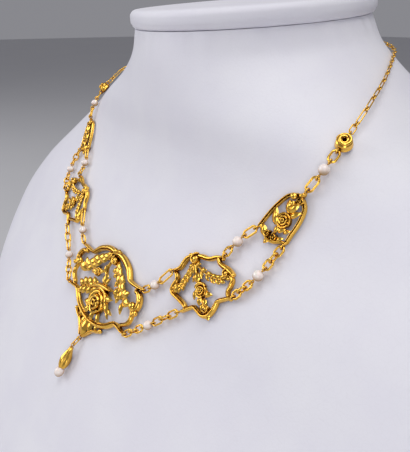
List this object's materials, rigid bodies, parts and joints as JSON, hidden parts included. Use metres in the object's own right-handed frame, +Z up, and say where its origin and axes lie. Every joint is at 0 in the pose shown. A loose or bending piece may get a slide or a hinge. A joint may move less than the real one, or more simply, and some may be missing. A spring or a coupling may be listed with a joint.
{
  "type": "draped necklace on neck bust",
  "caption": "Gold draped necklace with openwork floral plaques, small pearls and a pendant drop, lying on a padded neck bust with a flat base.",
  "frame": {"origin": "centre of the whole object's box, on the plane that the bust's base stands on", "axes": "+Z up, the necklace's front faces -Y, +X to the viewer's right as seen from the front"},
  "size_m": [0.318, 0.1952, 0.2255],
  "materials": {
    "gold": "polished yellow gold",
    "pearl": "pearl lustre",
    "leatherette": "satin, fine grain"
  },
  "bodies": {
    "root": {"bust": "leatherette", "neck_disc": "leatherette", "centre_plaque": "gold", "side_plaque_r": "gold", "side_plaque_l": "gold", "outer_plaque_r": "gold", "outer_plaque_l": "gold", "pearl_inner_upper_r": "pearl", "pearl_inner_lower_r": "pearl", "pearl_outer_upper_r": "pearl", "pearl_outer_lower_r": "pearl", "pearl_top_r": "pearl", "pearl_inner_upper_l": "pearl", "pearl_inner_lower_l": "pearl", "pearl_outer_upper_l": "pearl", "pearl_outer_lower_l": "pearl", "pearl_top_l": "pearl", "pin_inner_upper_r": "gold", "pin_inner_lower_r": "gold", "pin_outer_upper_r": "gold", "pin_outer_lower_r": "gold", "pin_top_r": "gold", "pin_inner_upper_l": "gold", "pin_inner_lower_l": "gold", "pin_outer_upper_l": "gold", "pin_outer_lower_l": "gold", "pin_top_l": "gold", "links_inner_upper_r": "gold", "links_inner_lower_r": "gold", "links_outer_upper_r": "gold", "links_outer_lower_r": "gold", "links_top_r": "gold", "links_inner_upper_l": "gold", "links_inner_lower_l": "gold", "links_outer_upper_l": "gold", "links_outer_lower_l": "gold", "links_top_l": "gold", "bead_r": "gold", "bead_l": "gold", "pendant_ring": "gold", "pendant_cap": "gold", "pendant_pearl": "pearl", "chain_r": "gold", "chain_l": "gold", "clasp": "gold"}
  },
  "joints": []
}
